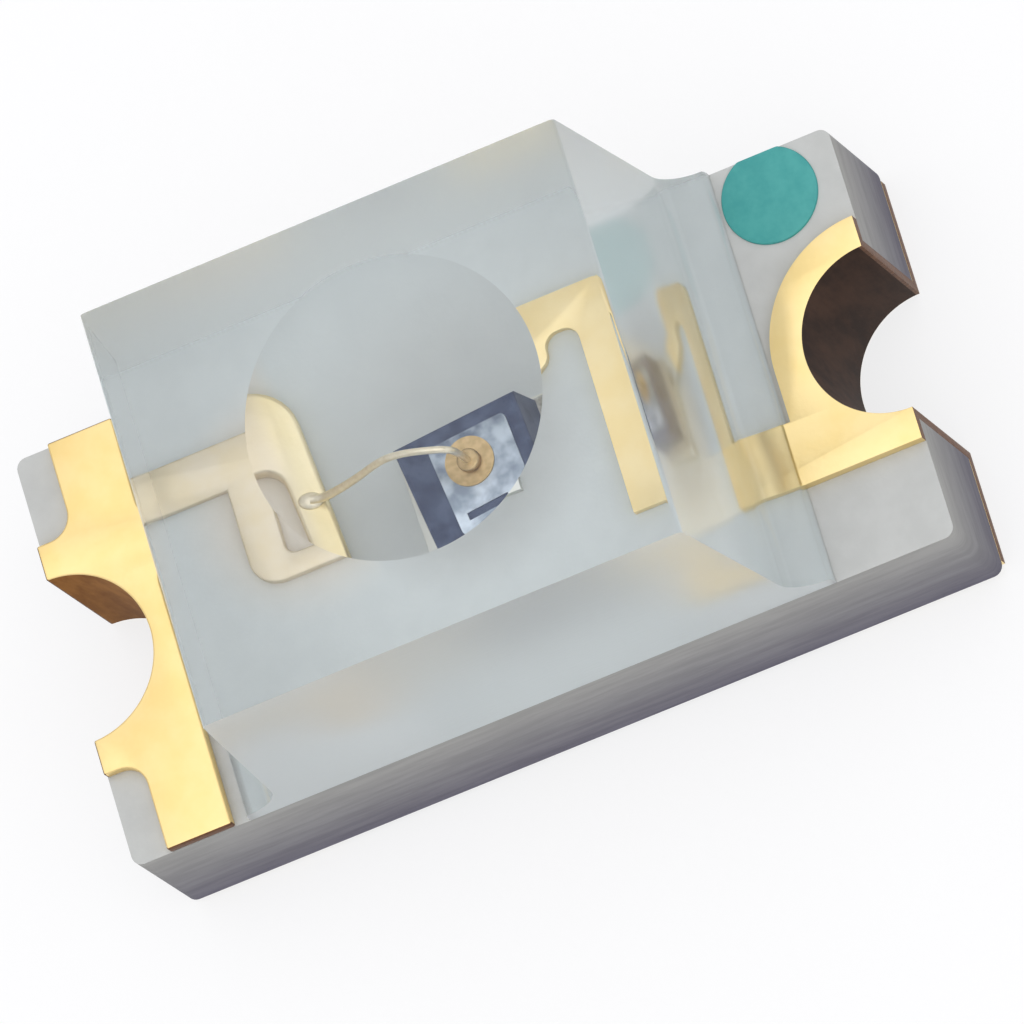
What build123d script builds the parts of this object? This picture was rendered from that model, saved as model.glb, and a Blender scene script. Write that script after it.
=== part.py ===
from build123d import *

import os
from math import atan, degrees, radians, tan

os.makedirs("parts", exist_ok=True)

# Chip LED of the 3.2 x 1.6 mm class: a clear domed epoxy block moulded on a small
# white circuit board, whose two ends carry gold-plated half-round solder notches.
# Millimetres. Origin at the middle of the underside, +X towards the cathode end,
# which the green dot marks, and +Z up. The underside is the faces of the solder pads.

# Driving dimensions

# Circuit board and its plated ends
board_length = 3.2
board_width = 1.6
board_thickness = 0.55
foil_thickness = 0.045
plating_thickness = 0.035
notch_radius = 0.315
pad_length = 0.62
pad_side_margin = 0.05

# Anode foil on the top, at the -X end
strip_end_gap = 0.145
strip_width = 0.255
end_patch_half_width = 0.45
end_patch_corner = 0.09
anode_neck_width = 0.18
anode_neck_corner = 0.07
bond_land_middle = 0.52
bond_land_width = 0.48
bond_land_top = 0.4
bond_land_foot = 0.175
bond_land_top_corner = 0.08
bond_land_foot_corner = 0.04
bond_land_outer_corner = 0.11
land_slot_side = 0.145
land_slot_foot = 0.085
land_slot_length = 0.34
land_slot_corner = 0.04
land_wire_bar_width = 0.065

# Cathode foil on the top, at the +X end
ring_width = 0.12
cathode_neck_width = 0.24
cathode_bar_middle = 0.705
cathode_bar_width = 0.16
hook_top = 0.445
hook_width = 0.14
hook_length = 0.395
hook_drop = 0.2
hook_outer_corner = 0.06
hook_inner_corner = 0.055
finger_width = 0.105

# Light-emitting die, set down a little askew, and the glue under it
die_middle_x = 0.07
die_middle_y = 0.0
die_turn = 5.5
die_pad_size = 0.385
die_size = 0.31
die_height = 0.16
die_edge_bevel = 0.008
glue_thickness = 0.012
glue_climb = 0.03
glue_margin = 0.02
glue_rim = 0.004
film_margin = 0.037
film_setback = 0.035
film_thickness = 0.003
film_corner = 0.015
film_window_length = 0.11
film_window_width = 0.02
film_window_margin = 0.03
bond_pad_radius = 0.06
bond_pad_shift = 0.045
bond_pad_thickness = 0.003

# Gold bond wire
wire_radius = 0.009
ball_radius = 0.028
ball_height = 0.016
ball_rounding = 0.006
loop_rise = 0.11
loop_shoulder = 0.17
loop_bend_radius = 0.05
stitch_length = 0.05
stitch_width = 0.036
stitch_thickness = 0.01
stitch_run = 0.04
stitch_y = 0.16

# Clear epoxy body
block_height = 1.04
block_top_length = 1.84
end_draft_angle = 4.5
foot_flash = 0.06
foot_radius = 0.145
foot_land = 0.01
crease_radius = 0.02
dome_middle_x = 0.07
dome_middle_y = 0.03
dome_base_radius = 0.55
dome_height = 0.165

# Painted polarity dot
dot_radius = 0.18
dot_thickness = 0.01
dot_foot_gap = 0.008
dot_ring_gap = 0.025

# Derived places

end_x = board_length / 2
side_y = board_width / 2
board_base_z = foil_thickness
board_top_z = board_base_z + board_thickness
foil_top_z = board_top_z + foil_thickness
hole_radius = notch_radius + plating_thickness

strip_outer_x = -end_x + strip_end_gap
strip_inner_x = strip_outer_x + strip_width
land_inner_x = bond_land_width / 2 - bond_land_middle
land_outer_x = -bond_land_width / 2 - bond_land_middle
slot_width = bond_land_width - land_slot_side - land_wire_bar_width
slot_middle_x = land_outer_x + land_slot_side + slot_width / 2
slot_middle_y = land_slot_foot - bond_land_foot + land_slot_length / 2
ring_radius = notch_radius + ring_width
cathode_bar_x = cathode_bar_middle + cathode_bar_width / 2
hook_x = cathode_bar_x - hook_length + finger_width / 2

glue_height = glue_thickness + glue_climb
glue_taper = degrees(atan((glue_margin - glue_rim) / glue_height))
die_base_z = foil_top_z + glue_thickness
die_top_z = die_base_z + die_height
film_width = die_size - 2 * film_margin
film_length = film_width - film_setback
film_window_y = film_window_margin + film_window_width / 2 - film_width / 2
electrode_top_z = die_top_z + film_thickness + bond_pad_thickness
die_plane = Plane((die_middle_x, die_middle_y, 0)).rotated((0, 0, die_turn))
bond_point = die_plane.from_local_coords((0, bond_pad_shift, 0))
stitch_x = land_inner_x - land_wire_bar_width / 2
wire_run = Vector(stitch_x, stitch_y) - Vector(bond_point.X, bond_point.Y)
wire_plane = Plane((bond_point.X, bond_point.Y, 0), x_dir=wire_run, z_dir=wire_run.cross(Vector(0, 0, 1)))
stitch_plane = Plane((stitch_x, stitch_y, foil_top_z), x_dir=wire_run, z_dir=(0, 0, 1))
loop_z = electrode_top_z + ball_height + loop_rise
stitch_wire_z = foil_top_z + stitch_thickness + wire_radius / 2

block_top_z = board_top_z + block_height
block_top_x = block_top_length / 2
flash_top_z = board_top_z + foot_flash
wall_foot_x = block_top_x + (block_height - foot_flash) * tan(radians(end_draft_angle))
foot_x = wall_foot_x + foot_radius * tan(radians(90 - end_draft_angle) / 2) + foot_land
dome_top_z = block_top_z + dome_height
cap_radius = (dome_base_radius**2 + dome_height**2) / (2 * dome_height)

dot_x = foot_x + dot_foot_gap + dot_radius
dot_y = ring_radius + dot_ring_gap + dot_radius


# White laminate board, sawn from a panel through the middle of its plated holes
with BuildPart() as board_laminate:
    with BuildSketch(Plane.XY.offset(board_base_z)):
        Rectangle(board_length, board_width)
        with Locations((-end_x, 0), (end_x, 0)):
            Circle(hole_radius, mode=Mode.SUBTRACT)
    extrude(amount=board_thickness)
board_laminate.part.label = "board_laminate"
export_step(board_laminate.part, "parts/board_laminate.step")


def plated_notch_and_pad(centre_x, inward):
    """The half-round plated wall at one end, and the solder pad under the board."""
    with BuildSketch() as notch_wall:
        with Locations((centre_x, 0)):
            Circle(hole_radius)
            Circle(notch_radius, mode=Mode.SUBTRACT)
            Rectangle(hole_radius, 2 * hole_radius, align=(inward, Align.CENTER), mode=Mode.INTERSECT)
    extrude(notch_wall.sketch, amount=foil_top_z)
    with BuildSketch() as solder_pad:
        with Locations((centre_x, 0)):
            Rectangle(pad_length, board_width - 2 * pad_side_margin, align=(inward, Align.CENTER))
            Circle(notch_radius, mode=Mode.SUBTRACT)
    extrude(solder_pad.sketch, amount=foil_thickness)


# Anode terminal: one skin of plated copper that runs from the strip on top, through
# the half-round notch, to the solder pad below, with a neck and a slotted land that
# takes the wire
with BuildPart() as anode_terminal:
    with BuildSketch(Plane.XY.offset(board_top_z)):
        with Locations((strip_outer_x, 0)):
            Rectangle(strip_width, board_width, align=(Align.MIN, Align.CENTER))
            Rectangle(strip_end_gap, 2 * end_patch_half_width, align=(Align.MAX, Align.CENTER))
        fillet(vertices().group_by(Axis.X)[1].sort_by(Axis.Y)[1:-1], end_patch_corner)
        with Locations((strip_inner_x, bond_land_top)):
            Rectangle(land_outer_x - strip_inner_x, anode_neck_width, align=(Align.MIN, Align.MAX))
        with Locations((land_outer_x, bond_land_top)):
            Rectangle(bond_land_width, bond_land_top + bond_land_foot, align=(Align.MIN, Align.MAX))
        for corner, radius in (
            ((strip_inner_x, bond_land_top), anode_neck_corner),
            ((strip_inner_x, bond_land_top - anode_neck_width), anode_neck_corner),
            ((land_inner_x, bond_land_top), bond_land_top_corner),
            ((land_inner_x, -bond_land_foot), bond_land_foot_corner),
            ((land_outer_x, -bond_land_foot), bond_land_outer_corner),
        ):
            fillet(vertices().sort_by_distance((*corner, 0))[0], radius)
        with Locations((slot_middle_x, slot_middle_y)):
            RectangleRounded(slot_width, land_slot_length, land_slot_corner, mode=Mode.SUBTRACT)
        with Locations((-end_x, 0)):
            Circle(notch_radius, mode=Mode.SUBTRACT)
    extrude(amount=foil_thickness)
    plated_notch_and_pad(-end_x, Align.MIN)
anode_terminal.part.label = "anode_terminal"
export_step(anode_terminal.part, "parts/anode_terminal.step")


# Cathode terminal: a ring round the notch, a neck along its front, and a bar that
# crosses the board, hooks back and ends in a finger to the square pad under the die
with BuildPart() as cathode_terminal:
    with BuildSketch(Plane.XY.offset(board_top_z)):
        with Locations((end_x, 0)):
            Circle(ring_radius)
            Rectangle(ring_radius, ring_radius, align=(Align.MAX, Align.MAX))
        with Locations((end_x, -ring_radius)):
            Rectangle(end_x - cathode_bar_middle, cathode_neck_width, align=(Align.MAX, Align.MIN))
        with Locations((cathode_bar_middle, -ring_radius)):
            Rectangle(cathode_bar_width, ring_radius + hook_top, align=(Align.CENTER, Align.MIN))
        with Locations((cathode_bar_x, hook_top)):
            Rectangle(hook_length, hook_width, align=(Align.MAX, Align.MAX))
        with Locations((hook_x, hook_top)):
            Rectangle(finger_width, hook_drop, align=(Align.CENTER, Align.MAX))
        for corner, radius in (
            ((cathode_bar_x, hook_top), hook_outer_corner),
            ((hook_x - finger_width / 2, hook_top), hook_outer_corner),
            ((cathode_bar_x - cathode_bar_width, hook_top - hook_width), hook_inner_corner),
            ((hook_x + finger_width / 2, hook_top - hook_width), hook_inner_corner),
        ):
            fillet(vertices().sort_by_distance((*corner, 0))[0], radius)
        with BuildLine():
            Line((hook_x, hook_top - hook_drop), (die_middle_x, die_middle_y))
        trace(line_width=finger_width)
        with Locations((hook_x, hook_top - hook_drop)):
            Circle(finger_width / 2)
        with Locations((die_middle_x, die_middle_y)):
            Rectangle(die_pad_size, die_pad_size)
        with Locations((end_x, 0)):
            Circle(notch_radius, mode=Mode.SUBTRACT)
            Rectangle(ring_radius, board_width, align=(Align.MIN, Align.CENTER), mode=Mode.SUBTRACT)
    extrude(amount=foil_thickness)
    plated_notch_and_pad(end_x, Align.MAX)
cathode_terminal.part.label = "cathode_terminal"
export_step(cathode_terminal.part, "parts/cathode_terminal.step")


# Silver-filled glue: a thin bed under the die that has climbed a little up its sides
with BuildPart() as die_attach:
    with BuildSketch(die_plane.offset(foil_top_z)):
        Rectangle(die_size + 2 * glue_margin, die_size + 2 * glue_margin)
    extrude(amount=glue_height, taper=glue_taper)
    with BuildSketch(die_plane.offset(die_base_z)):
        Rectangle(die_size, die_size)
    extrude(amount=glue_climb, mode=Mode.SUBTRACT)
die_attach.part.label = "die_attach"
export_step(die_attach.part, "parts/die_attach.step")


# The light-emitting die, a sawn square of semiconductor with an etched upper edge
with BuildPart() as led_die:
    with BuildSketch(die_plane.offset(die_base_z)):
        Rectangle(die_size, die_size)
    extrude(amount=die_height)
    chamfer(faces().sort_by(Axis.Z)[-1].edges(), die_edge_bevel)
led_die.part.label = "led_die"
export_step(led_die.part, "parts/led_die.step")


# Electrode on the die: a metal film with one window, which spreads the current and
# stands back from the anode's side, and a round bond pad on it
with BuildPart() as die_electrode:
    with BuildSketch(die_plane.offset(die_top_z)):
        with Locations((film_setback / 2, 0)):
            RectangleRounded(film_length, film_width, film_corner)
        with Locations((0, film_window_y)):
            Rectangle(film_window_length, film_window_width, mode=Mode.SUBTRACT)
    extrude(amount=film_thickness)
    with BuildSketch(die_plane.offset(die_top_z + film_thickness)):
        with Locations((0, bond_pad_shift)):
            Circle(bond_pad_radius)
    extrude(amount=bond_pad_thickness)
die_electrode.part.label = "die_electrode"
export_step(die_electrode.part, "parts/die_electrode.step")


# Gold wire: a flattened ball on the bond pad, a loop with a flat shoulder, and a
# wedge stitched down on the anode's land
with BuildPart() as bond_wire:
    with BuildSketch(Plane.XY.offset(electrode_top_z)):
        with Locations((bond_point.X, bond_point.Y)):
            Circle(ball_radius)
    extrude(amount=ball_height)
    fillet(edges(), ball_rounding)
    with BuildSketch(stitch_plane):
        Ellipse(stitch_length / 2, stitch_width / 2)
    extrude(amount=stitch_thickness)
    with BuildLine(wire_plane) as loop:
        FilletPolyline(
            (0, electrode_top_z + ball_height / 2),
            (0, loop_z),
            (loop_shoulder, loop_z),
            (wire_run.length - stitch_run, stitch_wire_z),
            (wire_run.length, stitch_wire_z),
            radius=loop_bend_radius,
        )
    with BuildSketch(Plane.XY.offset(electrode_top_z + ball_height / 2)):
        with Locations((bond_point.X, bond_point.Y)):
            Circle(wire_radius)
    sweep(path=loop.line)
bond_wire.part.label = "bond_wire"
export_step(bond_wire.part, "parts/bond_wire.step")


# Clear epoxy body, moulded in one shot over the board: drafted ends with a thin
# flared foot, sides sawn flush with the board, and a shallow dome over the die.
# The dome's mould stands a little off the middle. The epoxy wraps all that is on
# the board under it.
with BuildPart() as epoxy_lens:
    with BuildSketch(Plane.XZ) as side_profile:
        with BuildLine():
            half_profile = Polyline(
                (0, board_top_z),
                (foot_x, board_top_z),
                (foot_x, flash_top_z),
                (wall_foot_x, flash_top_z),
                (block_top_x, block_top_z),
                (0, block_top_z),
            )
            mirror(half_profile, about=Plane.YZ)
        make_face()
        fillet(vertices().group_by(Axis.Y)[-1], crease_radius)
        fillet(vertices().group_by(Axis.Y)[1].sort_by(Axis.X)[1:-1], foot_radius)
    extrude(amount=side_y, both=True)
    with BuildSketch(Plane.XZ.offset(-dome_middle_y)):
        with BuildLine():
            dome_rim_x = dome_middle_x + dome_base_radius
            Line((dome_middle_x, block_top_z), (dome_middle_x, dome_top_z))
            RadiusArc((dome_middle_x, dome_top_z), (dome_rim_x, block_top_z), cap_radius)
            Line((dome_rim_x, block_top_z), (dome_middle_x, block_top_z))
        make_face()
    revolve(axis=Axis((dome_middle_x, dome_middle_y, 0), (0, 0, 1)))
    for inner_piece in (anode_terminal, cathode_terminal, die_attach, led_die, die_electrode, bond_wire):
        add(inner_piece.part, mode=Mode.SUBTRACT)
epoxy_lens.part.label = "epoxy_lens"
export_step(epoxy_lens.part, "parts/epoxy_lens.step")


# Green ink dot that marks the cathode end, cut off where the board was sawn
with BuildPart() as polarity_dot:
    with BuildSketch(Plane.XY.offset(board_top_z)):
        with Locations((dot_x, dot_y)):
            Circle(dot_radius)
        Rectangle(board_length, board_width, mode=Mode.INTERSECT)
    extrude(amount=dot_thickness)
polarity_dot.part.label = "polarity_dot"
export_step(polarity_dot.part, "parts/polarity_dot.step")
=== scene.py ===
from math import atan2, cos, hypot, radians, sin, tan

import bpy
from mathutils import Matrix, Vector


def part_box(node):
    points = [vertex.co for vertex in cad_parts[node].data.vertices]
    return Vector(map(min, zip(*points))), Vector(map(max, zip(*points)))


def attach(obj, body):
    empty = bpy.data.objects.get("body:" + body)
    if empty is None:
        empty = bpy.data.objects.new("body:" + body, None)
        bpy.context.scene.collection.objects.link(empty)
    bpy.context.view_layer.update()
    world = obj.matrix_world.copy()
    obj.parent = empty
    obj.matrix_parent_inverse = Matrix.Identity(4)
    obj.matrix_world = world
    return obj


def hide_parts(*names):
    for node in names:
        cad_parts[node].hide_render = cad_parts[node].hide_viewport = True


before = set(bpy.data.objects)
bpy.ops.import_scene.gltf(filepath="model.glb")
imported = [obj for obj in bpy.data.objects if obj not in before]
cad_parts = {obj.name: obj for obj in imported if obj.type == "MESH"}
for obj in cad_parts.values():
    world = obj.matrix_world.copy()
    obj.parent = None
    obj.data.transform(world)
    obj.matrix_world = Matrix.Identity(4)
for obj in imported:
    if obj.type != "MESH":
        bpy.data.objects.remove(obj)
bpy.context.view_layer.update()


# Board
# The carrier is a white laminate of resin and glass cloth. It is sawn from a large
# panel, through the middle of its plated holes, so that each end has a half-round
# notch and the four sides show the cut plies.

MM = 0.001
board_low, board_high = (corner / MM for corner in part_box("board_laminate"))
end_x = board_high.x
board_top_z = board_high.z
notch_radius = 0.315
plating_thickness = 0.035
hole_radius = notch_radius + plating_thickness
board_corner_radius = 0.04
board_edge_radius = 0.006
covered_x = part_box("epoxy_lens")[1].x / MM
greyed_rim = 0.03
# Painted shade on the board round the die, seen through the dome.
dome_shade_middle = (0.07, 0.03)
dome_shade_radius = 0.3
dome_shade_reach = 0.55
warm_middle = (-0.52, 0.12)
warm_radius = 0.18
warm_reach = 0.5
warm_end_x = -0.29
round_sides = 160
overcut = 0.1
weld_gap = 0.00002
flat_within = radians(0.4)
same_place = 0.001
mostly = 0.9
steep = 0.7


def only(piece):
    """Makes the piece the one that is selected and active."""
    bpy.ops.object.select_all(action="DESELECT")
    piece.select_set(True)
    bpy.context.view_layer.objects.active = piece


def add_block(name, low, high):
    """A closed block between two corners. Pieces are shaped in millimetres, and shrunk when done."""
    bpy.ops.object.select_all(action="DESELECT")
    low, high = Vector(low), Vector(high)
    bpy.ops.mesh.primitive_cube_add(size=1, location=(low + high) / 2, scale=high - low)
    bpy.ops.object.transform_apply(location=True, rotation=True, scale=True)
    bpy.context.object.name = name
    return bpy.context.object


def add_rod(name, x, y, radius, low_z, high_z):
    """A closed upright rod."""
    bpy.ops.object.select_all(action="DESELECT")
    bpy.ops.mesh.primitive_cylinder_add(
        vertices=round_sides, radius=radius, depth=high_z - low_z, location=(x, y, (low_z + high_z) / 2)
    )
    bpy.ops.object.transform_apply(location=True, rotation=True, scale=True)
    bpy.context.object.name = name
    return bpy.context.object


def combine(piece, tool, operation):
    """Joins the tool to the piece with UNION, or cuts it away with DIFFERENCE, and uses it up."""
    only(piece)
    step = piece.modifiers.new("combine", "BOOLEAN")
    step.operation = operation
    step.solver = "EXACT"
    step.object = tool
    bpy.ops.object.modifier_apply(modifier=step.name)
    bpy.data.objects.remove(tool, do_unlink=True)


def pick_edges(piece, wanted):
    """Edit mode on the piece, with only the edges selected whose middle and direction are wanted."""
    only(piece)
    bpy.context.tool_settings.mesh_select_mode = (False, True, False)
    bpy.ops.object.mode_set(mode="EDIT")
    bpy.ops.mesh.select_all(action="DESELECT")
    bpy.ops.object.mode_set(mode="OBJECT")
    points = piece.data.vertices
    for edge in piece.data.edges:
        start, end = (points[index].co for index in edge.vertices)
        edge.select = wanted((start + end) / 2, (end - start).normalized())
    bpy.ops.object.mode_set(mode="EDIT")


def upright(middle, along):
    """Picks upright edges."""
    return abs(along.z) > mostly


def round_edges(piece, radius, wanted, segments):
    """Rounds the wanted edges."""
    pick_edges(piece, wanted)
    bpy.ops.mesh.bevel(offset=radius, segments=segments, profile=0.5, affect="EDGES")
    bpy.ops.object.mode_set(mode="OBJECT")


def tidy_faces(piece, flatten=True):
    """Merges what a cut left double, and clears edges that lie inside a flat face if it may."""
    only(piece)
    bpy.ops.object.mode_set(mode="EDIT")
    bpy.ops.mesh.select_all(action="SELECT")
    bpy.ops.mesh.remove_doubles(threshold=weld_gap)
    if flatten:
        bpy.ops.mesh.dissolve_limited(angle_limit=flat_within)
    bpy.ops.mesh.normals_make_consistent(inside=False)
    bpy.ops.object.mode_set(mode="OBJECT")


def finish_piece(piece, node, smooth_below):
    """Shrinks a shaped piece to metres, shades it and puts it in the place of its CAD node."""
    only(piece)
    piece.scale = (MM, MM, MM)
    bpy.ops.object.transform_apply(location=True, rotation=True, scale=True)
    bpy.ops.object.shade_smooth_by_angle(angle=radians(smooth_below))
    step = piece.modifiers.new("flat faces stay flat", "WEIGHTED_NORMAL")
    step.keep_sharp = True
    step.weight = 100
    bpy.ops.object.modifier_apply(modifier=step.name)
    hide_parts(node)
    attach(piece, "root")


def new_material(name):
    """A material with its node tree, its tree and its Principled shader."""
    material = bpy.data.materials.new(name)
    material.use_nodes = True
    tree = material.node_tree
    return material, tree, tree.nodes["Principled BSDF"]


def object_noise(tree, scale, detail, roughness, stretch=(1, 1, 1)):
    """Noise on the object's own coordinates, which are metres, with its Fac output."""
    place = tree.nodes.new("ShaderNodeTexCoord")
    fit = tree.nodes.new("ShaderNodeMapping")
    fit.inputs["Scale"].default_value = stretch
    noise = tree.nodes.new("ShaderNodeTexNoise")
    noise.inputs["Scale"].default_value = scale
    noise.inputs["Detail"].default_value = detail
    noise.inputs["Roughness"].default_value = roughness
    tree.links.new(place.outputs["Object"], fit.inputs["Vector"])
    tree.links.new(fit.outputs["Vector"], noise.inputs["Vector"])
    return noise.outputs["Fac"]


def colour_steps(tree, factor, steps):
    """A colour ramp that turns a factor into colours, given as (position, colour) pairs."""
    ramp = tree.nodes.new("ShaderNodeValToRGB")
    ramp.color_ramp.interpolation = "EASE"
    while len(ramp.color_ramp.elements) < len(steps):
        ramp.color_ramp.elements.new(0.5)
    for element, (position, colour) in zip(ramp.color_ramp.elements, steps):
        element.position = position
        element.color = (*colour, 1)
    tree.links.new(factor, ramp.inputs["Fac"])
    return ramp.outputs["Color"]


def mottled(tree, noise, dark, light):
    """Two tones of a colour that run into each other."""
    return colour_steps(tree, noise, [(0.3, dark), (0.7, light)])


def share_along(tree, axis, start, end):
    """How far a point is from a start to an end, 0 to 1, along one axis of the object."""
    place = tree.nodes.new("ShaderNodeTexCoord")
    parts = tree.nodes.new("ShaderNodeSeparateXYZ")
    reach = tree.nodes.new("ShaderNodeMapRange")
    reach.inputs["From Min"].default_value = start * MM
    reach.inputs["From Max"].default_value = end * MM
    tree.links.new(place.outputs["Object"], parts.inputs["Vector"])
    tree.links.new(parts.outputs[axis], reach.inputs["Value"])
    return reach.outputs["Result"]


def close_to(tree, x, y, near, far):
    """1 up to a near distance from an upright line, falling to 0 at a far one."""
    place = tree.nodes.new("ShaderNodeTexCoord")
    flat = tree.nodes.new("ShaderNodeVectorMath")
    flat.operation = "MULTIPLY"
    flat.inputs[1].default_value = (1, 1, 0)
    gap = tree.nodes.new("ShaderNodeVectorMath")
    gap.operation = "DISTANCE"
    gap.inputs[1].default_value = (x * MM, y * MM, 0)
    fall = tree.nodes.new("ShaderNodeMapRange")
    fall.interpolation_type = "SMOOTHSTEP"
    fall.inputs["From Min"].default_value = far * MM
    fall.inputs["From Max"].default_value = near * MM
    tree.links.new(place.outputs["Object"], flat.inputs[0])
    tree.links.new(flat.outputs["Vector"], gap.inputs[0])
    tree.links.new(gap.outputs["Value"], fall.inputs["Value"])
    return fall.outputs["Result"]


def give_colour(tree, colour, socket):
    """Gives a socket a colour: a plain one as its value, and a node's by a link."""
    if isinstance(colour, tuple):
        socket.default_value = (*colour, 1)
    else:
        tree.links.new(colour, socket)


def blend(tree, factor, first, second):
    """A mix of two colours, the first at factor 0."""
    mix = tree.nodes.new("ShaderNodeMix")
    mix.data_type = "RGBA"
    tree.links.new(factor, mix.inputs["Factor"])
    give_colour(tree, first, mix.inputs["A"])
    give_colour(tree, second, mix.inputs["B"])
    return mix.outputs["Result"]


def relief(tree, shader, height, distance, strength):
    """Bump from a height factor. The distance is in metres."""
    bump = tree.nodes.new("ShaderNodeBump")
    bump.inputs["Distance"].default_value = distance
    bump.inputs["Strength"].default_value = strength
    tree.links.new(height, bump.inputs["Height"])
    tree.links.new(bump.outputs["Normal"], shader.inputs["Normal"])


def paint(piece, material, wanted):
    """Gives a further material to the faces whose middle and normal are wanted."""
    piece.data.materials.append(material)
    index = len(piece.data.materials) - 1
    for face in piece.data.polygons:
        if wanted(face.center / MM, face.normal):
            face.material_index = index


board = add_block("board", board_low, board_high)
round_edges(board, board_corner_radius, upright, segments=6)
for centre_x in (-end_x, end_x):
    hole = add_rod("hole", centre_x, 0, hole_radius, board_low.z - overcut, board_top_z + overcut)
    combine(board, hole, "DIFFERENCE")
tidy_faces(board)
round_edges(
    board,
    board_edge_radius,
    lambda middle, along: abs(middle.z - board_low.z) < same_place
    and hypot(abs(middle.x) - end_x, middle.y) > hole_radius + board_edge_radius,
    segments=2,
)


def laminate_material(name, colour_under):
    """The face of the board: cloudy resin, greyed, and painted whiter under the epoxy as painted light.
    """
    material, tree, shader = new_material(name)
    cloud = object_noise(tree, scale=9000, detail=4, roughness=0.55)
    greyed = mottled(tree, cloud, (0.53, 0.54, 0.535), (0.57, 0.58, 0.575))
    tree.links.new(colour_under(tree, cloud, greyed), shader.inputs["Base Color"])
    shader.inputs["Roughness"].default_value = 0.5
    grain = object_noise(tree, scale=60000, detail=3, roughness=0.6)
    relief(tree, shader, grain, distance=0.000001, strength=0.5)
    return material


def covered_colour(tree, cloud, greyed):
    """Painted whiter under the epoxy as painted light, with painted shade round the die under the dome,
    and warm in the slot of the gold land.
    """
    # painted light: the same laminate, whiter where the epoxy covers it
    white = mottled(tree, cloud, (0.80, 0.86, 0.885), (0.825, 0.885, 0.91))
    # painted shade on the board under the dome, round the die
    dome_shade_tone = mottled(tree, cloud, (0.67, 0.705, 0.715), (0.695, 0.73, 0.74))
    warm = mottled(tree, cloud, (0.95, 0.885, 0.795), (0.97, 0.905, 0.815))
    with_dome_shade = blend(tree, close_to(tree, *dome_shade_middle, dome_shade_radius, dome_shade_reach), white, dome_shade_tone)
    at_land = blend(tree, close_to(tree, *warm_middle, warm_radius, warm_reach), white, warm)
    colour = blend(tree, share_along(tree, "X", warm_end_x - greyed_rim, warm_end_x), at_land, with_dome_shade)
    colour = blend(tree, share_along(tree, "X", covered_x - greyed_rim, covered_x), colour, greyed)
    return blend(tree, share_along(tree, "X", greyed_rim - covered_x, -covered_x), colour, greyed)


def sawn_laminate_material():
    """The sawn sides: plies of glass cloth run lengthways, greyer than the face, with painted shade
    darkening them towards the foot.
    """
    material, tree, shader = new_material("laminate_sawn")
    plies = object_noise(tree, scale=24000, detail=5, roughness=0.65, stretch=(0.12, 0.12, 1))
    plies_tone = mottled(tree, plies, (0.50, 0.495, 0.48), (0.60, 0.595, 0.575))
    foot_shade = mottled(tree, plies, (0.155, 0.145, 0.20), (0.225, 0.215, 0.275))
    # painted shade: the sawn sides get darker towards the foot
    tree.links.new(
        blend(tree, share_along(tree, "Z", board_low.z, board_top_z), foot_shade, plies_tone),
        shader.inputs["Base Color"],
    )
    shader.inputs["Roughness"].default_value = 0.75
    relief(tree, shader, plies, distance=0.000003, strength=0.7)
    return material


board.data.materials.append(laminate_material("laminate_face", covered_colour))
finish_piece(board, "board_laminate", smooth_below=30)
paint(board, sawn_laminate_material(), lambda middle, normal: abs(normal.z) < steep)
paint(
    board,
    laminate_material("laminate_below", lambda tree, cloud, greyed: greyed),
    lambda middle, normal: normal.z < -mostly,
)


# Terminals
# Each terminal is one skin of copper foil and plating, finished in soft gold: a shape
# on top of the board, a half-round wall in the notch and a solder pad below. Where the
# saw cut through them, at the board's ends and sides, they show bare copper in painted shade.

side_y = board_high.y
foil_top_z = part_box("anode_terminal")[1].z / MM
pad_top_z = board_low.z
pad_length = 0.62
pad_side_margin = 0.05
foil_edge_radius = 0.008
sawn_reach = foil_edge_radius + same_place
etch_radius = 0.03

strip_setback = 0.145
strip_width = 0.255
strip_outer_x = -end_x + strip_setback
strip_inner_x = strip_outer_x + strip_width
end_patch_half_width = 0.45
end_patch_corner_radius = 0.09
neck_width = 0.18
neck_corner_radius = 0.07
land_low = Vector((-0.76, -0.175))
land_high = Vector((-0.28, 0.4))
land_top_radius = 0.08
land_foot_radius = 0.04
land_outer_radius = 0.11
wire_bar_width = 0.065
outer_bar_width = 0.145
foot_bar_width = 0.085
slot_width = 0.34
slot_low = land_low + Vector((outer_bar_width, foot_bar_width))
slot_high = Vector((land_high.x - wire_bar_width, slot_low.y + slot_width))
slot_corner_radius = 0.04

ring_width = 0.12
ring_radius = notch_radius + ring_width
cathode_neck_width = 0.24
cathode_neck_high_y = cathode_neck_width - ring_radius
bar_low_x = 0.625
bar_high_x = 0.785
hook_low_x = 0.39
hook_width = 0.14
hook_low_y = 0.245
hook_high_y = 0.445
hook_outer_radius = 0.06
hook_inner_radius = 0.055
finger_half_width = 0.0525
drop_high_x = hook_low_x + 2 * finger_half_width
die_pad_half = 0.1925
die_middle = Vector((0.07, 0))
die_grey_radius = 0.28
die_grey_reach = 0.36
paling_reach = 0.2
plain_gold = (1.0, 0.80, 0.41)


def foil(name, low, high):
    """A rectangle of foil on top of the board."""
    return add_block(name, (*low, board_top_z), (*high, foil_top_z))


def soften(piece, radius, sharper_than):
    """A small round on every edge that is sharper than the angle."""
    only(piece)
    step = piece.modifiers.new("soften", "BEVEL")
    step.width = radius
    step.segments = 3
    step.limit_method = "ANGLE"
    step.angle_limit = radians(sharper_than)
    bpy.ops.object.modifier_apply(modifier=step.name)


def upright_near(*places):
    """Picks upright edges of the foil at the given places."""
    return lambda middle, along: upright(middle, along) and any(
        hypot(middle.x - x, middle.y - y) < 2 * same_place for x, y in places
    )


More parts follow.
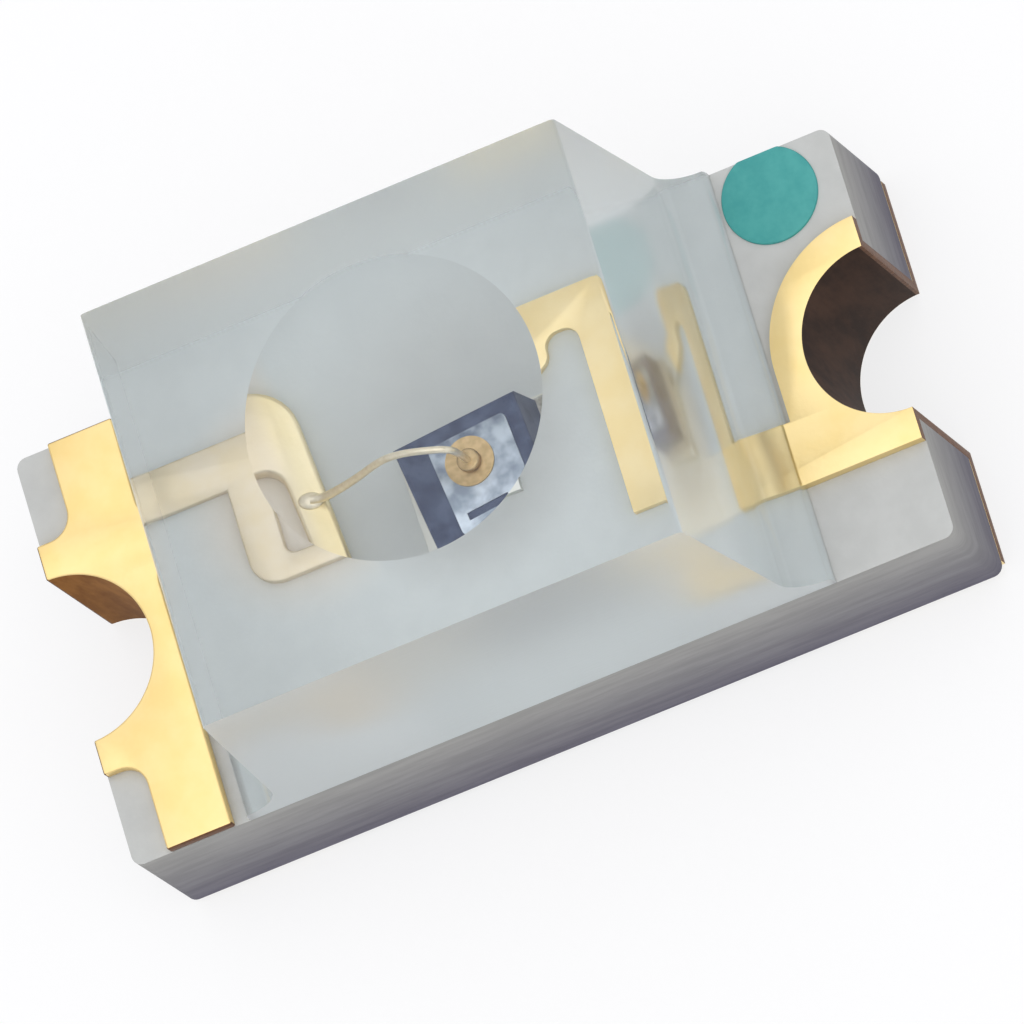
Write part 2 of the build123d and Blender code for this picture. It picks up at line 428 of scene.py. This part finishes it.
def add_notch_and_pad(terminal, side):
    """The solder pad below, the plated wall, and the half-round cut through all of it."""
    outer = side * end_x
    inner = side * (end_x - pad_length)
    pad = add_block(
        "pad",
        (min(outer, inner), -side_y + pad_side_margin, 0),
        (max(outer, inner), side_y - pad_side_margin, pad_top_z),
    )
    round_edges(
        pad,
        etch_radius,
        lambda middle, along: upright(middle, along) and abs(middle.x) < end_x - etch_radius,
        segments=4,
    )
    combine(terminal, pad, "UNION")
    wall = add_rod("wall", outer, 0, hole_radius, 0, foil_top_z)
    combine(terminal, wall, "UNION")
    notch = add_rod("notch", outer, 0, notch_radius, -overcut, foil_top_z + overcut)
    combine(terminal, notch, "DIFFERENCE")
    beyond = add_block(
        "beyond",
        (min(outer, outer + side), -side_y - overcut, -overcut),
        (max(outer, outer + side), side_y + overcut, foil_top_z + overcut),
    )
    combine(terminal, beyond, "DIFFERENCE")
    tidy_faces(terminal)
    soften(terminal, foil_edge_radius, sharper_than=50)


anode = foil("anode", (strip_outer_x, -side_y), (strip_inner_x, side_y))
for part, low, high in (
    ("patch", (-end_x, -end_patch_half_width), (strip_outer_x, end_patch_half_width)),
    ("neck", (strip_inner_x, land_high.y - neck_width), (land_low.x, land_high.y)),
    ("land", land_low, land_high),
):
    combine(anode, foil(part, low, high), "UNION")
tidy_faces(anode)
for corner_radius, corners in (
    (
        end_patch_corner_radius,
        [(strip_outer_x, end_patch_half_width), (strip_outer_x, -end_patch_half_width)],
    ),
    (
        neck_corner_radius,
        [(strip_inner_x, land_high.y), (strip_inner_x, land_high.y - neck_width)],
    ),
    (land_top_radius, [land_high]),
    (land_foot_radius, [(land_high.x, land_low.y)]),
    (land_outer_radius, [land_low]),
):
    round_edges(anode, corner_radius, upright_near(*corners), segments=8)
slot = add_block("slot", (*slot_low, board_top_z - overcut), (*slot_high, foil_top_z + overcut))
round_edges(slot, slot_corner_radius, upright, segments=6)
combine(anode, slot, "DIFFERENCE")
add_notch_and_pad(anode, -1)

cathode = foil("cathode", (bar_low_x, -ring_radius), (end_x, cathode_neck_high_y))
combine(cathode, add_rod("ring", end_x, 0, ring_radius, board_top_z, foil_top_z), "UNION")
for part, low, high in (
    ("corner", (end_x - ring_radius, -ring_radius), (end_x, 0)),
    ("bar", (bar_low_x, -ring_radius), (bar_high_x, hook_high_y)),
    ("hook", (hook_low_x, hook_high_y - hook_width), (bar_high_x, hook_high_y)),
    ("drop", (hook_low_x, hook_low_y), (drop_high_x, hook_high_y)),
):
    combine(cathode, foil(part, low, high), "UNION")
tidy_faces(cathode)
hook_under_y = hook_high_y - hook_width
outer_corners = upright_near((bar_high_x, hook_high_y), (hook_low_x, hook_high_y))
inner_corners = upright_near((bar_low_x, hook_under_y), (drop_high_x, hook_under_y))
round_edges(cathode, hook_outer_radius, outer_corners, segments=8)
round_edges(cathode, hook_inner_radius, inner_corners, segments=6)
finger_start = Vector((hook_low_x + finger_half_width, hook_low_y))
finger_run = finger_start - die_middle
finger = foil("finger", (0, -finger_half_width), (finger_run.length, finger_half_width))
finger.rotation_euler.z = atan2(finger_run.y, finger_run.x)
finger.location.xy = die_middle
only(finger)
bpy.ops.object.transform_apply(location=True, rotation=True, scale=True)
combine(cathode, finger, "UNION")
combine(cathode, add_rod("knee", *finger_start, finger_half_width, board_top_z, foil_top_z), "UNION")
die_pad_low = die_middle - Vector((die_pad_half, die_pad_half))
die_pad_high = die_middle + Vector((die_pad_half, die_pad_half))
combine(cathode, foil("die_pad", die_pad_low, die_pad_high), "UNION")
add_notch_and_pad(cathode, 1)


def gold_plate(name, tone_of):
    """Soft gold over nickel: satin, a little cloudy, with the fine grain of the plated foil."""
    material, tree, shader = new_material(name)
    cloud = object_noise(tree, scale=7000, detail=3, roughness=0.5)
    dimming = tree.nodes.new("ShaderNodeMix")
    dimming.data_type = "RGBA"
    dimming.blend_type = "MULTIPLY"
    dimming.inputs["Factor"].default_value = 1
    give_colour(tree, tone_of(tree), dimming.inputs["A"])
    give_colour(tree, mottled(tree, cloud, (0.97, 0.94, 0.84), (1.0, 1.0, 1.0)), dimming.inputs["B"])
    tree.links.new(dimming.outputs["Result"], shader.inputs["Base Color"])
    shader.inputs["Metallic"].default_value = 1
    shader.inputs["Roughness"].default_value = 0.38
    grain = object_noise(tree, scale=45000, detail=4, roughness=0.6)
    relief(tree, shader, grain, distance=0.000002, strength=0.35)
    return material


def anode_tone(tree):
    """Gold outside the epoxy, gone pale under it, less so at the bar that takes the wire."""
    return colour_steps(
        tree,
        share_along(tree, "X", -covered_x, land_high.x),
        [
            (0, (1.0, 0.775, 0.375)),
            (0.06, (0.80, 0.72, 0.58)),
            (0.9, (0.82, 0.73, 0.59)),
            (0.97, (1.0, 0.88, 0.60)),
        ],
    )


def cathode_tone(tree):
    """Gold, a little paler under the epoxy, and grey round the die."""
    covered = colour_steps(
        tree,
        close_to(tree, *die_middle, die_grey_radius, die_grey_reach),
        [(0, (1.0, 0.83, 0.49)), (1, (0.72, 0.74, 0.74))],
    )
    return blend(tree, share_along(tree, "X", covered_x - paling_reach, covered_x), covered, plain_gold)


def pad_tone(tree):
    """The same gold all over, on the solder pads."""
    return plain_gold


def shaded_notch_wall_material(name, dark, light):
    """The wall of a notch: its plating, painted a matt brown as painted shade."""
    material, tree, shader = new_material(name)
    cloud = object_noise(tree, scale=12000, detail=4, roughness=0.6, stretch=(1, 1, 0.3))
    tree.links.new(mottled(tree, cloud, dark, light), shader.inputs["Base Color"])
    shader.inputs["Metallic"].default_value = 0.2
    shader.inputs["Roughness"].default_value = 0.7
    shader.inputs["Specular IOR Level"].default_value = 0.2
    relief(tree, shader, cloud, distance=0.000004, strength=0.6)
    return material


def sawn_copper_material():
    """Copper bared by the saw: its own tone darkened to dark brown by painted shade, with the marks of
    the blade.
    """
    material, tree, shader = new_material("sawn_copper")
    marks = object_noise(tree, scale=30000, detail=3, roughness=0.6, stretch=(1, 1, 6))
    # painted shade: the copper's tone darkened to dark brown
    tree.links.new(
        mottled(tree, marks, (0.10, 0.04, 0.018), (0.22, 0.10, 0.045)),
        shader.inputs["Base Color"],
    )
    shader.inputs["Metallic"].default_value = 0.6
    shader.inputs["Roughness"].default_value = 0.5
    relief(tree, shader, marks, distance=0.000003, strength=0.6)
    return material


# Painted shade: the plated walls of the two notches, each in its own brown.
anode_notch_shade = shaded_notch_wall_material("anode_notch_painted_shade", (0.27, 0.11, 0.026), (0.46, 0.21, 0.055))
cathode_notch_shade = shaded_notch_wall_material("cathode_notch_painted_shade", (0.040, 0.023, 0.017), (0.085, 0.046, 0.031))
sawn_copper = sawn_copper_material()
pad_gold = gold_plate("pad_gold", pad_tone)
for terminal, node, plate, notch_wall_shade in (
    (anode, "anode_terminal", gold_plate("anode_gold", anode_tone), anode_notch_shade),
    (cathode, "cathode_terminal", gold_plate("cathode_gold", cathode_tone), cathode_notch_shade),
):
    terminal.data.materials.append(plate)
    finish_piece(terminal, node, smooth_below=35)
    paint(terminal, pad_gold, lambda middle, normal: middle.z < pad_top_z + same_place)
    paint(
        terminal,
        notch_wall_shade,
        lambda middle, normal: abs(normal.z) < steep
        and hypot(abs(middle.x) - end_x, middle.y) < notch_radius + 2 * same_place,
    )
    paint(
        terminal,
        sawn_copper,
        lambda middle, normal: abs(normal.z) < mostly
        and (abs(middle.y) > side_y - sawn_reach or abs(middle.x) > end_x - sawn_reach),
    )


# Die and its glue
# The die is a square of dark semiconductor, sawn from a wafer and set down a little
# askew in a bed of silver-filled glue. On top it has a pale metal film that spreads
# the current, with a dark window, and a round gold pad for the wire.

die_turn = radians(5.5)
die_half = 0.155
die_edge_bevel = 0.008
glue_margin = 0.02
glue_rim = 0.004
glue_edge_radius = 0.008
film_low = Vector((-0.083, -0.118))
film_high = Vector((0.118, 0.118))
film_thickness = 0.003
film_corner_radius = 0.015
window_half_length = 0.055
window_y = -0.078
window_half_width = 0.01
bond_pad_radius = 0.06
bond_pad_shift = 0.045
die_low_z, die_high_z = (corner.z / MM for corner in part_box("led_die"))
glue_high_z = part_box("die_attach")[1].z / MM
bond_pad_high_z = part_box("die_electrode")[1].z / MM


def set_down(piece):
    """Turns a piece that was made about the middle, and moves it to the die's place."""
    only(piece)
    piece.rotation_euler.z = die_turn
    piece.location.xy = die_middle
    bpy.ops.object.transform_apply(location=True, rotation=True, scale=True)


die = add_block("die", (-die_half, -die_half, die_low_z), (die_half, die_half, die_high_z))
round_edges(die, die_edge_bevel, lambda middle, along: middle.z > die_high_z - same_place, segments=2)
set_down(die)


def semiconductor_material():
    """Dark blue-grey crystal, polished on top, with faint marks of the etch."""
    material, tree, shader = new_material("semiconductor")
    etch = object_noise(tree, scale=20000, detail=3, roughness=0.5)
    tree.links.new(
        mottled(tree, etch, (0.040, 0.062, 0.14), (0.095, 0.130, 0.235)),
        shader.inputs["Base Color"],
    )
    shader.inputs["Roughness"].default_value = 0.45
    shader.inputs["Specular IOR Level"].default_value = 0.25
    relief(tree, shader, etch, distance=0.000001, strength=0.5)
    return material


die.data.materials.append(semiconductor_material())
finish_piece(die, "led_die", smooth_below=20)


def pick_faces(piece, wanted):
    """Edit mode on the piece, with only the faces selected whose middle and normal are wanted."""
    only(piece)
    bpy.context.tool_settings.mesh_select_mode = (False, False, True)
    bpy.ops.object.mode_set(mode="EDIT")
    bpy.ops.mesh.select_all(action="DESELECT")
    bpy.ops.object.mode_set(mode="OBJECT")
    for face in piece.data.polygons:
        face.select = wanted(face.center, face.normal)
    bpy.ops.object.mode_set(mode="EDIT")


glue_half = die_half + glue_margin
glue = add_block("glue", (-glue_half, -glue_half, foil_top_z), (glue_half, glue_half, glue_high_z))
rim_share = (die_half + glue_rim) / glue_half
pick_faces(glue, lambda middle, normal: normal.z > mostly)
bpy.ops.transform.resize(value=(rim_share, rim_share, 1), center_override=(0, 0, glue_high_z))
bpy.ops.object.mode_set(mode="OBJECT")
round_edges(
    glue,
    glue_edge_radius,
    lambda middle, along: abs(middle.z - foil_top_z) > same_place,
    segments=4,
)
set_down(glue)


def silver_glue_material():
    """Silver flakes in resin: matt grey, finely grained."""
    material, tree, shader = new_material("silver_glue")
    flakes = object_noise(tree, scale=90000, detail=3, roughness=0.7)
    tree.links.new(
        mottled(tree, flakes, (0.34, 0.34, 0.33), (0.62, 0.62, 0.60)),
        shader.inputs["Base Color"],
    )
    shader.inputs["Metallic"].default_value = 0.5
    shader.inputs["Roughness"].default_value = 0.55
    relief(tree, shader, flakes, distance=0.000002, strength=0.8)
    return material


glue.data.materials.append(silver_glue_material())
finish_piece(glue, "die_attach", smooth_below=40)

film_high_z = die_high_z + film_thickness
electrode = add_block("electrode", (*film_low, die_high_z), (*film_high, film_high_z))
round_edges(electrode, film_corner_radius, upright, segments=6)
window = add_block(
    "window",
    (-window_half_length, window_y - window_half_width, die_high_z - overcut),
    (window_half_length, window_y + window_half_width, film_high_z + overcut),
)
combine(electrode, window, "DIFFERENCE")
bond_pad = add_rod("bond_pad", 0, bond_pad_shift, bond_pad_radius, die_high_z, bond_pad_high_z)
combine(electrode, bond_pad, "UNION")
tidy_faces(electrode)
set_down(electrode)
bond_x, bond_y = die_middle + Matrix.Rotation(die_turn, 2) @ Vector((0, bond_pad_shift))


def bright_metal(tree, shader, grain, colour, roughness):
    """The finish of the film, its bond pad and the wire: fine grained and bright."""
    tree.links.new(colour, shader.inputs["Base Color"])
    shader.inputs["Metallic"].default_value = 1
    shader.inputs["Roughness"].default_value = roughness
    relief(tree, shader, grain, distance=0.0000005, strength=0.4)


def film_material():
    """The film, blotched at random, with painted shade making it darker at the far side."""
    material, tree, shader = new_material("film_metal")
    grain = object_noise(tree, scale=16000, detail=3, roughness=0.5)
    near = colour_steps(tree, grain, [(0.3, (0.30, 0.36, 0.45)), (0.65, (0.66, 0.74, 0.85))])
    far = colour_steps(tree, grain, [(0.35, (0.11, 0.14, 0.20)), (0.7, (0.40, 0.46, 0.53))])
    # painted shade: the far side of the film is darker
    colour = blend(tree, share_along(tree, "Y", film_low.y, film_high.y), near, far)
    bright_metal(tree, shader, grain, colour, roughness=0.3)
    return material


def gold_material(name, dark, light, roughness):
    """Bright gold, for the bond pad and the wire."""
    material, tree, shader = new_material(name)
    grain = object_noise(tree, scale=60000, detail=3, roughness=0.5)
    bright_metal(tree, shader, grain, mottled(tree, grain, dark, light), roughness)
    return material


bond_pad_gold = gold_material("bond_pad_gold", (0.46, 0.33, 0.17), (0.60, 0.44, 0.24), roughness=0.35)
electrode.data.materials.append(film_material())
finish_piece(electrode, "die_electrode", smooth_below=30)
paint(
    electrode,
    bond_pad_gold,
    lambda middle, normal: hypot(middle.x - bond_x, middle.y - bond_y) < bond_pad_radius + same_place
    and middle.z > film_high_z + same_place / 2,
)


# Bond wire
# Fine gold wire, welded by a machine: its end is melted to a ball and pressed on the
# bond pad, the wire loops over, and its tail is squashed down on the anode's land.

wire_radius = 0.009
ball_radius = 0.028
ball_height = 0.016
ball_rounding = 0.006
loop_rise = 0.11
loop_z = bond_pad_high_z + ball_height + loop_rise
stitch_x = land_high.x - wire_bar_width / 2
stitch_y = 0.16
stitch_half_length = 0.025
stitch_half_width = 0.018
stitch_thickness = 0.01
wire_run = Vector((stitch_x - bond_x, stitch_y - bond_y))

# Each point of the loop is a way along the run and a height.
wire_path = (
    (0, bond_pad_high_z + ball_height / 2),
    (0, loop_z - 0.04),
    (0.01, loop_z),
    (0.06, loop_z + 0.002),
    (0.17, loop_z - 0.005),
    (wire_run.length - 0.13, foil_top_z + 0.14),
    (wire_run.length - 0.04, foil_top_z + 0.025),
    (wire_run.length - 0.02, foil_top_z + stitch_thickness),
    (wire_run.length, foil_top_z + stitch_thickness),
)


def level(middle, along):
    """Picks level edges."""
    return abs(along.z) < 1 - mostly


bpy.ops.object.select_all(action="DESELECT")
bpy.ops.curve.primitive_nurbs_path_add()
loop = bpy.context.object
loop.data.splines.clear()
spline = loop.data.splines.new("NURBS")
spline.points.add(len(wire_path) - 1)
for point, (way, z) in zip(spline.points, wire_path):
    x = bond_x + way * wire_run.x / wire_run.length
    y = bond_y + way * wire_run.y / wire_run.length
    point.co = (x, y, z, 1)
spline.order_u = 4
spline.use_endpoint_u = True
loop.data.resolution_u = 10
loop.data.bevel_depth = wire_radius
loop.data.bevel_resolution = 6
loop.data.use_fill_caps = True
only(loop)
bpy.ops.object.convert(target="MESH")
wire = bpy.context.object
wire.name = "wire"
bpy.ops.object.transform_apply(location=True, rotation=True, scale=True)
ball = add_rod("ball", bond_x, bond_y, ball_radius, bond_pad_high_z, bond_pad_high_z + ball_height)
round_edges(ball, ball_rounding, level, segments=4)
combine(wire, ball, "UNION")
bpy.ops.object.select_all(action="DESELECT")
bpy.ops.mesh.primitive_uv_sphere_add(
    segments=48,
    ring_count=24,
    radius=1,
    location=(stitch_x, stitch_y, foil_top_z),
    rotation=(0, 0, atan2(wire_run.y, wire_run.x)),
    scale=(stitch_half_length, stitch_half_width, stitch_thickness),
)
stitch = bpy.context.object
bpy.ops.object.transform_apply(location=True, rotation=True, scale=True)
below = add_block(
    "below",
    (stitch_x - overcut, stitch_y - overcut, foil_top_z - overcut),
    (stitch_x + overcut, stitch_y + overcut, foil_top_z),
)
combine(stitch, below, "DIFFERENCE")
combine(wire, stitch, "UNION")
# The wire keeps its small faces, because clearing them comes out a little different each time.
tidy_faces(wire, flatten=False)
gold_wire = gold_material("gold_wire", (0.88, 0.79, 0.62), (0.96, 0.88, 0.72), roughness=0.4)
wire.data.materials.append(gold_wire)
finish_piece(wire, "bond_wire", smooth_below=40)
paint(
    wire,
    bond_pad_gold,
    lambda middle, normal: hypot(middle.x - bond_x, middle.y - bond_y) < ball_radius + same_place
    and middle.z < bond_pad_high_z + ball_height + same_place / 2,
)


# Epoxy body
# Water-clear epoxy, moulded in one shot over the board. The mould gives the ends their
# draft, a thin flared foot and the dome over the die. The two long sides are sawn with
# the board, so they are frosted and the inside shows dimly through them.

lens_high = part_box("epoxy_lens")[1] / MM
foot_x = lens_high.x
dome_middle = (0.07, 0.03)
dome_base_radius = 0.55
dome_height = 0.165
block_top_z = lens_high.z - dome_height
block_top_x = 0.92
flash_thickness = 0.06
flash_top_z = board_top_z + flash_thickness
end_draft = radians(4.5)
wall_foot_x = block_top_x + (block_top_z - flash_top_z) * tan(end_draft)
foot_radius = 0.145
foot_fillet = foot_radius * tan((radians(90) - end_draft) / 2)
crease_round = 0.02
flash_round = 0.05
seat_depth = 0.001
dome_root = 0.02
dome_sides = 256
cap_radius = (dome_base_radius**2 + dome_height**2) / (2 * dome_height)
refraction = 1.53
rubbed_place = (0.15, -side_y)
rubbed_radius = 0.3
rubbed_reach = 0.7


def crossways(x, z):
    """Picks edges that run from side to side, at a distance from the middle and a height."""
    return (
        lambda middle, along: abs(along.y) > mostly
        and abs(abs(middle.x) - x) < same_place
        and abs(middle.z - z) < same_place
    )


epoxy = add_block("epoxy", (-foot_x, -side_y, board_top_z - seat_depth), (foot_x, side_y, flash_top_z))
only(epoxy)
for cut_x in (-wall_foot_x, wall_foot_x):
    bpy.ops.object.mode_set(mode="EDIT")
    bpy.ops.mesh.select_all(action="SELECT")
    bpy.ops.mesh.bisect(plane_co=(cut_x, 0, 0), plane_no=(1, 0, 0))
    bpy.ops.object.mode_set(mode="OBJECT")
pick_faces(epoxy, lambda middle, normal: normal.z > mostly and abs(middle.x) < wall_foot_x)
bpy.ops.mesh.extrude_region_move(TRANSFORM_OT_translate={"value": (0, 0, block_top_z - flash_top_z)})
bpy.ops.transform.resize(value=(block_top_x / wall_foot_x, 1, 1), center_override=(0, 0, block_top_z))
bpy.ops.object.mode_set(mode="OBJECT")
round_edges(epoxy, foot_fillet, crossways(wall_foot_x, flash_top_z), segments=12)
round_edges(epoxy, crease_round, crossways(block_top_x, block_top_z), segments=8)
round_edges(epoxy, flash_round, crossways(foot_x, flash_top_z), segments=8)
bpy.ops.object.select_all(action="DESELECT")
bpy.ops.mesh.primitive_uv_sphere_add(
    segments=dome_sides,
    ring_count=dome_sides,
    radius=cap_radius,
    location=(*dome_middle, lens_high.z - cap_radius),
)
dome = bpy.context.object
bpy.ops.object.transform_apply(location=True, rotation=True, scale=True)
bpy.ops.object.mode_set(mode="EDIT")
bpy.ops.mesh.select_all(action="SELECT")
bpy.ops.mesh.bisect(
    plane_co=(0, 0, block_top_z - dome_root), plane_no=(0, 0, 1), use_fill=True, clear_inner=True
)
bpy.ops.object.mode_set(mode="OBJECT")
combine(epoxy, dome, "UNION")
tidy_faces(epoxy, flatten=False)


def moulded_epoxy_material(name, roughness):
    """Clear epoxy with the mould's finish: polished on top, less so on the drafted ends."""
    material, tree, shader = new_material(name)
    shader.inputs["Base Color"].default_value = (0.97, 0.99, 0.985, 1)
    shader.inputs["Roughness"].default_value = roughness
    shader.inputs["IOR"].default_value = refraction
    shader.inputs["Transmission Weight"].default_value = 1
    waves = object_noise(tree, scale=2500, detail=2, roughness=0.5)
    relief(tree, shader, waves, distance=0.000001, strength=0.08)
    return material


def sawn_epoxy_material():
    """The same epoxy where the saw cut it: frosted by fine marks, most of all in one rubbed place."""
    material, tree, shader = new_material("sawn_epoxy")
    shader.inputs["Base Color"].default_value = (0.96, 0.98, 0.98, 1)
    rubbed = tree.nodes.new("ShaderNodeMapRange")
    rubbed.inputs["To Min"].default_value = 0.38
    rubbed.inputs["To Max"].default_value = 0.8
    tree.links.new(close_to(tree, *rubbed_place, rubbed_radius, rubbed_reach), rubbed.inputs["Value"])
    tree.links.new(rubbed.outputs["Result"], shader.inputs["Roughness"])
    shader.inputs["IOR"].default_value = refraction
    shader.inputs["Transmission Weight"].default_value = 0.78
    marks = object_noise(tree, scale=40000, detail=3, roughness=0.6, stretch=(0.3, 1, 1.5))
    relief(tree, shader, marks, distance=0.000002, strength=0.3)
    return material


epoxy.data.materials.append(moulded_epoxy_material("moulded_epoxy", roughness=0.015))
finish_piece(epoxy, "epoxy_lens", smooth_below=30)
paint(
    epoxy,
    moulded_epoxy_material("moulded_epoxy_ends", roughness=0.16),
    lambda middle, normal: abs(middle.x) > block_top_x,
)
paint(
    epoxy,
    sawn_epoxy_material(),
    lambda middle, normal: abs(normal.y) > mostly and abs(middle.y) > side_y - same_place,
)


# Polarity dot
# A spot of green ink, printed on the panel at the cathode end. The saw took its rim
# off where the spot ran over the edge of the board.

dot_low, dot_high = (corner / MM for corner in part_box("polarity_dot"))
dot_radius = (dot_high.x - dot_low.x) / 2
dot_edge_radius = 0.006

dot = add_rod("dot", dot_low.x + dot_radius, dot_low.y + dot_radius, dot_radius, dot_low.z, dot_high.z)
round_edges(
    dot,
    dot_edge_radius,
    lambda middle, along: level(middle, along) and middle.z > dot_high.z - same_place,
    segments=3,
)
off_cut = add_block(
    "off_cut",
    (dot_low.x - overcut, side_y, dot_low.z - overcut),
    (dot_high.x + overcut, side_y + dot_radius, dot_high.z + overcut),
)
combine(dot, off_cut, "DIFFERENCE")
tidy_faces(dot)


def green_ink_material():
    """Printed ink, satin, a little uneven."""
    material, tree, shader = new_material("green_ink")
    blots = object_noise(tree, scale=14000, detail=4, roughness=0.6)
    tree.links.new(
        mottled(tree, blots, (0.040, 0.33, 0.325), (0.062, 0.385, 0.37)),
        shader.inputs["Base Color"],
    )
    shader.inputs["Roughness"].default_value = 0.45
    relief(tree, shader, blots, distance=0.000002, strength=0.5)
    return material


dot.data.materials.append(green_ink_material())
finish_piece(dot, "polarity_dot", smooth_below=30)


# Floor and light
# A plain white table under a soft sky of light, brightest overhead and a little to the
# front. The table looks white to the camera and in reflections, but sends little light
# back up, so the sides of the part stay dim.

floor_half = 0.06
floor_drop = 0.000002
floor_glow = 0.74

bpy.ops.object.select_all(action="DESELECT")
bpy.ops.mesh.primitive_plane_add(size=2 * floor_half, location=(0, 0, -floor_drop))
floor = bpy.context.object
floor.name = "floor"
bpy.ops.object.transform_apply(location=True, rotation=True, scale=True)


def seen_directly(tree):
    """1 for rays from the camera, or by way of metal or glass, and 0 for the rest."""
    rays = tree.nodes.new("ShaderNodeLightPath")
    either = tree.nodes.new("ShaderNodeMath")
    either.operation = "MAXIMUM"
    tree.links.new(rays.outputs["Is Camera Ray"], either.inputs[0])
    tree.links.new(rays.outputs["Is Glossy Ray"], either.inputs[1])
    any_of = tree.nodes.new("ShaderNodeMath")
    any_of.operation = "MAXIMUM"
    tree.links.new(either.outputs["Value"], any_of.inputs[0])
    tree.links.new(rays.outputs["Is Transmission Ray"], any_of.inputs[1])
    return any_of.outputs["Value"]


floor_material, tree, shader = new_material("white_table")
shader.inputs["Base Color"].default_value = (0.25, 0.25, 0.26, 1)
shader.inputs["Roughness"].default_value = 1
shader.inputs["Specular IOR Level"].default_value = 0
shader.inputs["Emission Color"].default_value = (1, 1, 1, 1)
glow = tree.nodes.new("ShaderNodeMath")
glow.operation = "MULTIPLY"
glow.inputs[1].default_value = floor_glow
tree.links.new(seen_directly(tree), glow.inputs[0])
tree.links.new(glow.outputs["Value"], shader.inputs["Emission Strength"])
floor.data.materials.append(floor_material)

overhead = (0, 0, 1)
front_right = (0.56, -0.83, 0)
sky_at_horizon = 0.25
sky_overhead = 1.35
sky_rise_in_front = 0.3
world = bpy.data.worlds.new("studio")
world.use_nodes = True
bpy.context.scene.world = world
tree = world.node_tree


def sky_part(middle, least, most):
    """Light that grows from the least, at a right angle from its middle, to the most there."""
    direction = tree.nodes.new("ShaderNodeTexCoord")
    nearness = tree.nodes.new("ShaderNodeVectorMath")
    nearness.operation = "DOT_PRODUCT"
    nearness.inputs[1].default_value = middle
    rise = tree.nodes.new("ShaderNodeMapRange")
    rise.inputs["To Min"].default_value = least
    rise.inputs["To Max"].default_value = most
    tree.links.new(direction.outputs["Generated"], nearness.inputs[0])
    tree.links.new(nearness.outputs["Value"], rise.inputs["Value"])
    return rise.outputs["Result"]


sky = tree.nodes.new("ShaderNodeMath")
tree.links.new(sky_part(overhead, sky_at_horizon, sky_overhead), sky.inputs[0])
tree.links.new(sky_part(front_right, 0, sky_rise_in_front), sky.inputs[1])
background = tree.nodes["Background"]
background.inputs["Color"].default_value = (1, 1, 1, 1)
tree.links.new(sky.outputs["Value"], background.inputs["Strength"])


# Camera
# A long lens from the front right, well above the part, turned so that the board runs
# up to the right across the picture.

view_azimuth = radians(-56.0)
view_elevation = radians(65)
view_roll = radians(-53.7)
view_distance = 0.060
pixels_per_mm = 285.2
picture_width = 1024
aim_right = 0.2146
aim_up = -0.1255
aim_z = 0.895

toward = Vector(
    (
        cos(view_elevation) * cos(view_azimuth),
        cos(view_elevation) * sin(view_azimuth),
        sin(view_elevation),
    )
)
level_right = Vector((0, 0, 1)).cross(toward).normalized()
level_up = toward.cross(level_right)
right = cos(view_roll) * level_right + sin(view_roll) * level_up
up = -sin(view_roll) * level_right + cos(view_roll) * level_up
aim = Vector((0, 0, aim_z)) * MM + (aim_right * right + aim_up * up) * MM
camera_data = bpy.data.cameras.new("camera")
camera_data.sensor_width = 36
camera_data.lens = pixels_per_mm * (view_distance / MM) * camera_data.sensor_width / picture_width
camera_data.clip_start = 0.001
camera_data.clip_end = 10
camera = bpy.data.objects.new("camera", camera_data)
bpy.context.scene.collection.objects.link(camera)
turn = Matrix((right, up, toward)).transposed().to_4x4()
camera.matrix_world = Matrix.Translation(aim + toward * view_distance) @ turn
bpy.context.scene.camera = camera

bpy.context.scene.view_settings.view_transform = "Standard"
